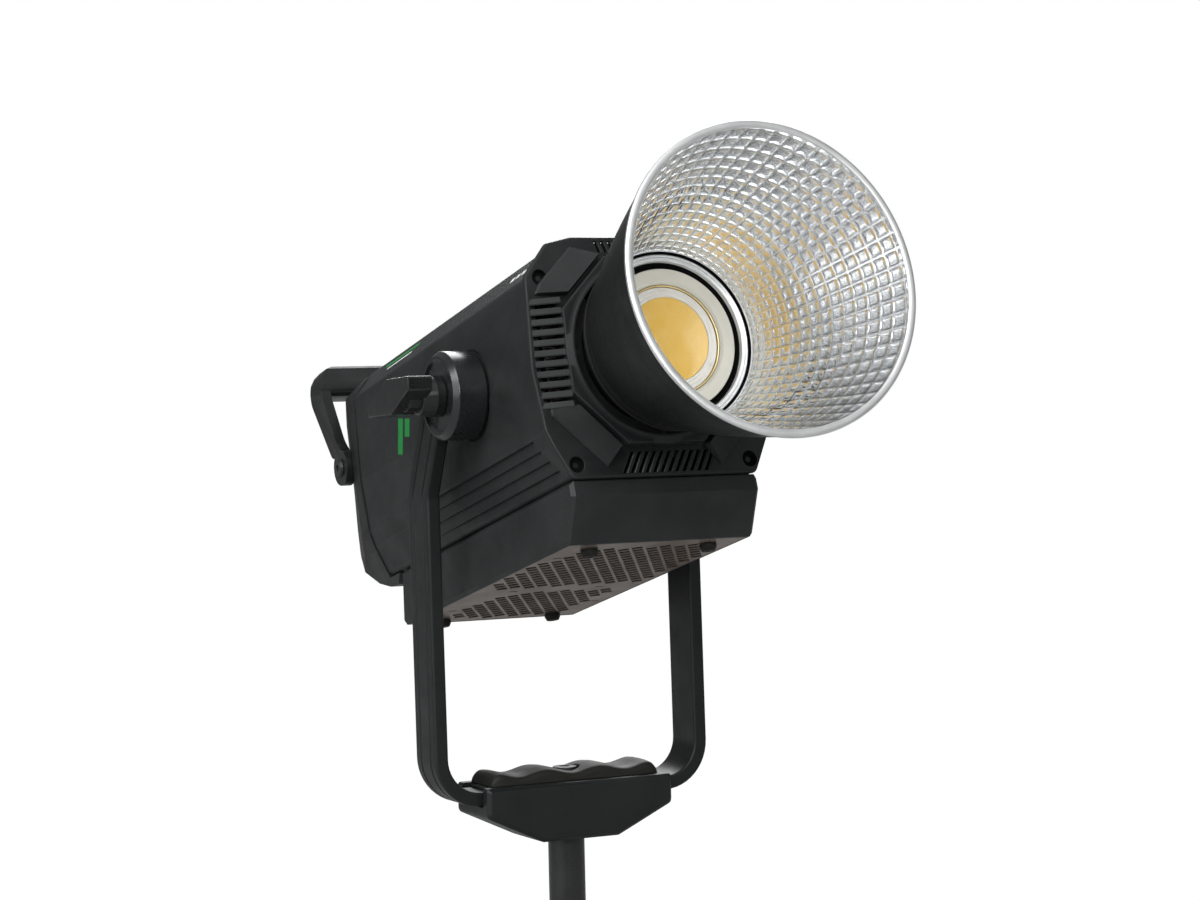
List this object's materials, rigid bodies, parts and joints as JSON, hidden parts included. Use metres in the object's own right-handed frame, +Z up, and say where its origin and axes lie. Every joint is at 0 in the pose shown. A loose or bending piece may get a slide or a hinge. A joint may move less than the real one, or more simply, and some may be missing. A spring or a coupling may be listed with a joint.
{
  "type": "studio spotlight",
  "caption": "Yoke-mounted LED studio spotlight with a faceted bayonet reflector, tilting head, rear carry handle, vented casing and a post for a light stand.",
  "frame": {"origin": "centre of the mounting post's lower face", "axes": "+Z up along the post, -Y the way the lamp points, +X across along the tilt axis"},
  "size_m": [0.223, 0.5229, 0.4851],
  "materials": {
    "black_steel": "satin black steel",
    "yoke_paint": "fine textured black powder coat on aluminium",
    "rubber": "matte black rubber",
    "grip_plastic": "fine grained black plastic",
    "steel": "turned steel",
    "casing_paint": "fine textured charcoal paint on aluminium",
    "bezel_plastic": "fine grained charcoal plastic",
    "cover_plastic": "fine grained black plastic",
    "vent_plate": "satin taupe sheet metal",
    "display": "glossy dark window",
    "circuit_board": "green board laminate",
    "component_plastic": "moulded black plastic",
    "mount_metal": "satin black anodised metal",
    "reflector_mirror": "faceted bright aluminium, black outside",
    "aluminium": "satin aluminium",
    "copper": "bare copper",
    "ceramic": "matte white ceramic",
    "emitter": "yellow phosphor"
  },
  "bodies": {
    "yoke": {"mounting_post": "black_steel", "base_block": "yoke_paint", "grip_pad": "rubber", "base_clamp_bar": "black_steel", "base_bolt": "black_steel", "yoke_bar": "yoke_paint", "tilt_hub_cap": "grip_plastic", "pivot_hub_left": "yoke_paint", "pivot_hub_right": "yoke_paint", "tilt_stud_left": "steel", "tilt_stud_right": "steel", "friction_washer_left": "rubber", "friction_washer_right": "rubber"},
    "lock_lever": {"tilt_lock_lever": "grip_plastic"},
    "head": {"main_housing": "casing_paint", "front_bezel": "bezel_plastic", "bezel_screw_1": "black_steel", "bezel_screw_2": "black_steel", "bezel_screw_3": "black_steel", "bezel_screw_4": "black_steel", "power_box": "casing_paint", "bottom_vent_plate": "vent_plate", "rubber_foot_1": "rubber", "rubber_foot_2": "rubber", "rubber_foot_3": "rubber", "rubber_foot_4": "rubber", "rear_cover": "cover_plastic", "control_panel": "grip_plastic", "display_window": "display", "control_board": "circuit_board", "mains_inlet": "component_plastic", "rocker_frame": "component_plastic", "carry_handle": "grip_plastic", "handle_screw_left": "black_steel", "handle_screw_right": "black_steel", "mount_ring": "mount_metal", "heatsink": "aluminium", "heat_pipe_1": "copper", "heat_pipe_2": "copper", "heat_spreader": "copper", "cob_pedestal": "aluminium", "cob_substrate": "ceramic", "cob_contact_ring": "copper", "cob_emitter": "emitter", "led_retaining_ring": "ceramic", "fan_frame": "component_plastic", "power_board": "circuit_board", "power_transformer": "component_plastic", "power_heatsink": "aluminium", "filter_capacitor_1": "component_plastic", "filter_capacitor_2": "component_plastic"},
    "reflector": {"reflector_bell": "reflector_mirror"},
    "release": {"release_slider": "grip_plastic"},
    "fan": {"fan_rotor": "component_plastic"},
    "dimmer": {"dimmer_knob": "grip_plastic"},
    "rocker": {"power_rocker": "grip_plastic"},
    "button_1": {"panel_button_1": "rubber"},
    "button_2": {"panel_button_2": "rubber"},
    "button_3": {"panel_button_3": "rubber"}
  },
  "joints": [
    {"name": "head_tilt", "type": "hinge", "parent": "yoke", "child": "head", "pos_m": [0, -0.033, 0.337], "axis": [-1, 0, 0], "range_deg": [-70, 45]},
    {"name": "lock_lever_turn", "type": "hinge", "parent": "yoke", "child": "lock_lever", "pos_m": [0, -0.033, 0.337], "axis": [-1, 0, 0], "range_deg": [-30, 90]},
    {"name": "reflector_turn", "type": "hinge", "parent": "head", "child": "reflector", "pos_m": [0, -0.12997, 0.36145], "axis": [0, -0.9697, 0.2445], "range_deg": [0, 22]},
    {"name": "release_slide", "type": "slide", "parent": "head", "child": "release", "axis": [0, 0.9697, -0.2445], "range_m": [0, 0.006], "stiffness_N_per_m": 200, "springref_m": -0.002},
    {"name": "fan_spin", "type": "hinge", "parent": "head", "child": "fan", "pos_m": [0, 0.1042, 0.29829], "axis": [0, 0.9697, -0.2445], "continuous": true},
    {"name": "dimmer_turn", "type": "hinge", "parent": "head", "child": "dimmer", "pos_m": [0.026, 0.19878, 0.29507], "axis": [0, 0.9697, -0.2445], "continuous": true},
    {"name": "rocker_tip", "type": "hinge", "parent": "head", "child": "rocker", "pos_m": [-0.027, 0.18541, 0.2568], "axis": [1, 0, 0], "range_deg": [0, 14]},
    {"name": "button_1_press", "type": "slide", "parent": "head", "child": "button_1", "axis": [0, -0.9697, 0.2445], "range_m": [0, 0.0008], "stiffness_N_per_m": 400, "springref_m": -0.001},
    {"name": "button_2_press", "type": "slide", "parent": "head", "child": "button_2", "axis": [0, -0.9697, 0.2445], "range_m": [0, 0.0008], "stiffness_N_per_m": 400, "springref_m": -0.001},
    {"name": "button_3_press", "type": "slide", "parent": "head", "child": "button_3", "axis": [0, -0.9697, 0.2445], "range_m": [0, 0.0008], "stiffness_N_per_m": 400, "springref_m": -0.001}
  ]
}
